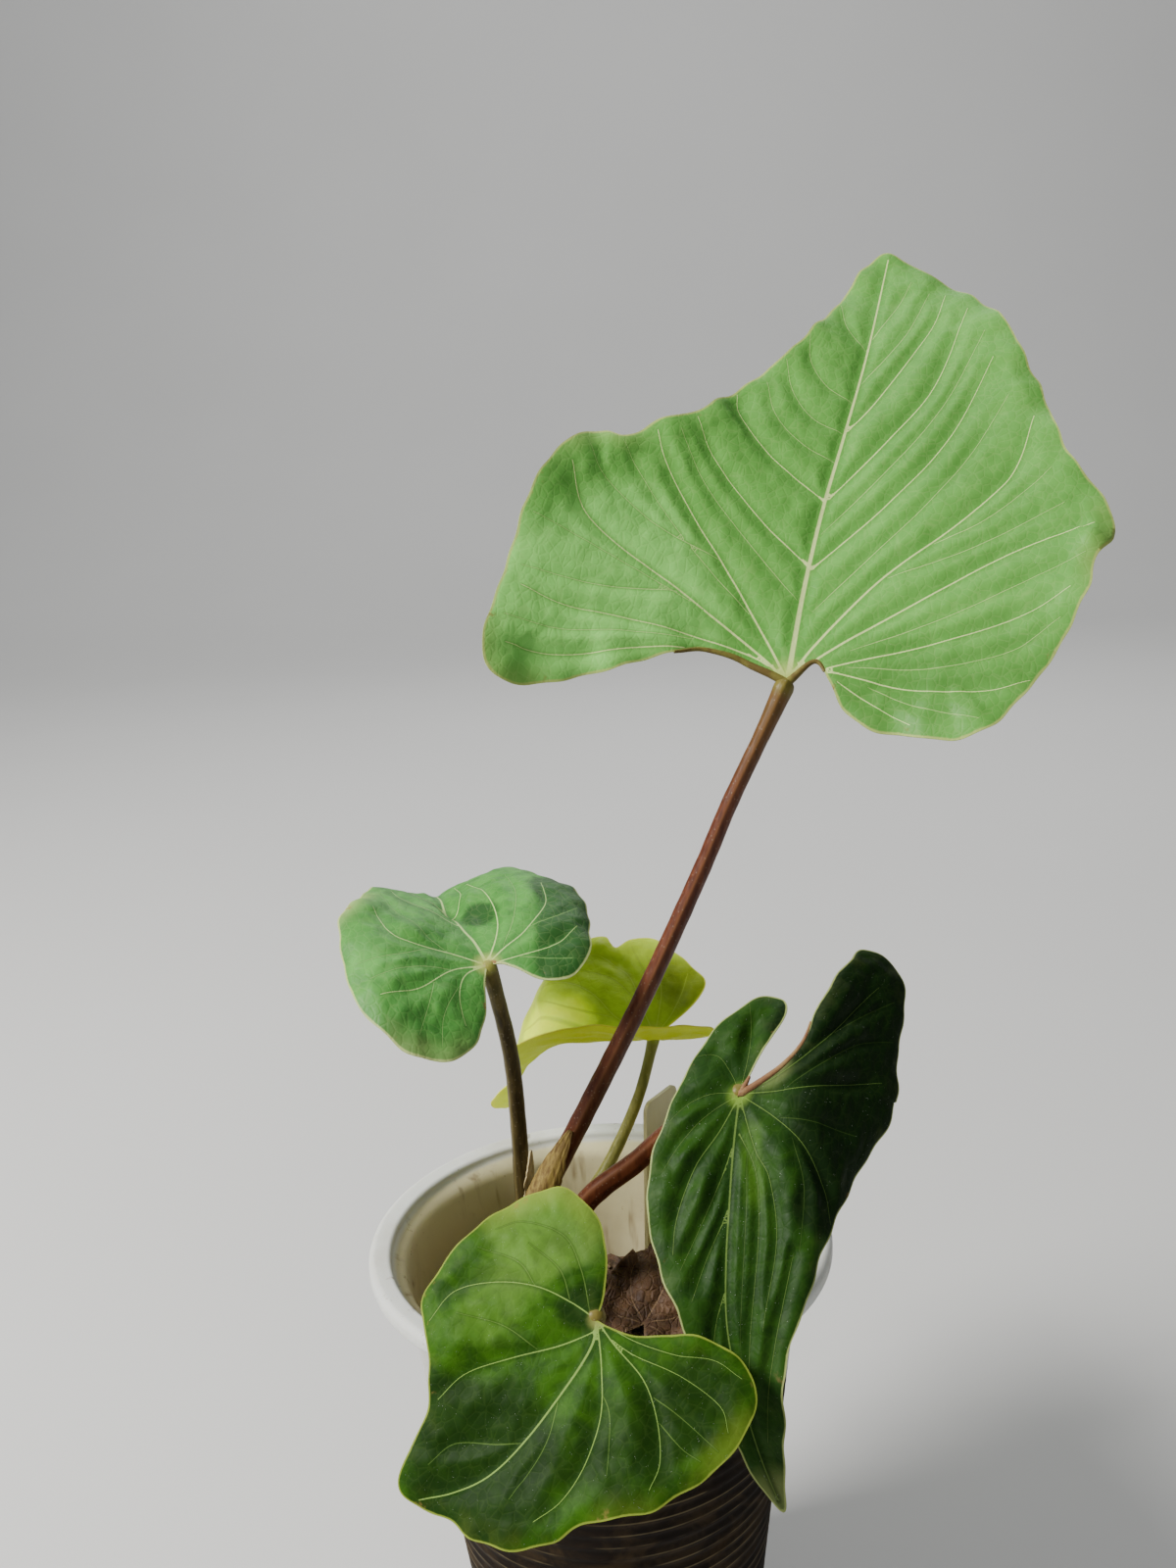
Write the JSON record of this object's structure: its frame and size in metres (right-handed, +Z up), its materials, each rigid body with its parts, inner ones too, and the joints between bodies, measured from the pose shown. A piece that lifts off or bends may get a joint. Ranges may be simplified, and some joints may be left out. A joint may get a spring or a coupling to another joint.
{
  "type": "potted anthurium",
  "caption": "Young kunayala glow anthurium in a tapered plastic cup: heart-shaped leaves on slender red-brown and olive stalks.",
  "frame": {"origin": "centre of the pot's flat underside", "axes": "+Z up along the pot's axis, +Y away from the viewer, +X to the viewer's right"},
  "size_m": [0.1778, 0.1768, 0.3343],
  "materials": {
    "pot_plastic": "milky translucent, satin",
    "potting_mix": "rough bark and peat",
    "stem_bark": "matte",
    "leaf_light": "satin leaf",
    "leaf_blue": "satin leaf",
    "leaf_young": "thin translucent leaf",
    "leaf_deep": "satin leaf",
    "leaf_gloss": "glossy leaf",
    "stalk_red": "smooth, satin",
    "stalk_olive": "smooth, satin",
    "stalk_pale": "smooth, satin",
    "sheath_tan": "papery",
    "sheath_pale": "papery, thin",
    "dry_leaf": "crumpled, matte",
    "label_plastic": "matte"
  },
  "bodies": {
    "root": {"pot": "pot_plastic", "potting_mix": "potting_mix", "stem": "stem_bark", "blade_large": "leaf_light", "petiole_large": "stalk_red", "blade_left": "leaf_blue", "petiole_left": "stalk_olive", "blade_young": "leaf_young", "petiole_young": "stalk_pale", "blade_right": "leaf_deep", "petiole_right": "stalk_red", "blade_front": "leaf_gloss", "petiole_front": "stalk_red", "cataphyll_large": "sheath_tan", "cataphyll_left": "sheath_pale", "dry_leaf": "dry_leaf", "plant_label": "label_plastic"}
  },
  "joints": []
}
